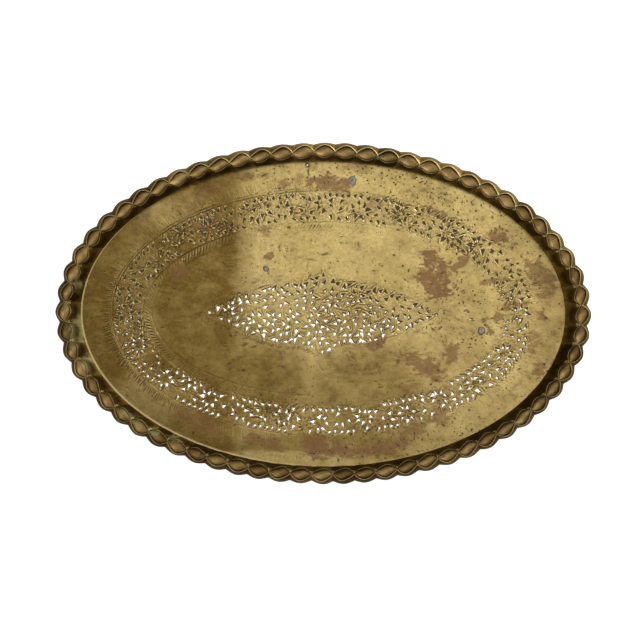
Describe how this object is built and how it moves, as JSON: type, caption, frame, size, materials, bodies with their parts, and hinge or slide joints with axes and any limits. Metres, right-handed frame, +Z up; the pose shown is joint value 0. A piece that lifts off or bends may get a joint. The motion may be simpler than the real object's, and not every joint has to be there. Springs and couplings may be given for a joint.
{
  "type": "oval pierced tray",
  "caption": "Oval brass tray with a pierced border band and medallion in a flat floor, a low wall and a pie-crust rim of dished lobes.",
  "frame": {"origin": "centre of the oval on the flat underside that the tray rests on", "axes": "+X along the tray's length, +Y across its width, +Z up out of the well"},
  "size_m": [0.72, 0.46, 0.026],
  "materials": {
    "aged_brass": "aged, worn satin with brown stains",
    "dark_brass": "unpolished, darkened in the recesses",
    "old_solder": "dull grey"
  },
  "bodies": {
    "root": {"pierced_medallion": "aged_brass", "plain_field": "aged_brass", "pierced_border": "aged_brass", "outer_margin": "aged_brass", "side_wall": "dark_brass", "pie_crust_cells": "aged_brass", "turned_edge": "dark_brass", "solder_plug_right": "old_solder", "solder_plug_top": "old_solder", "solder_plug_left": "old_solder"}
  },
  "joints": []
}
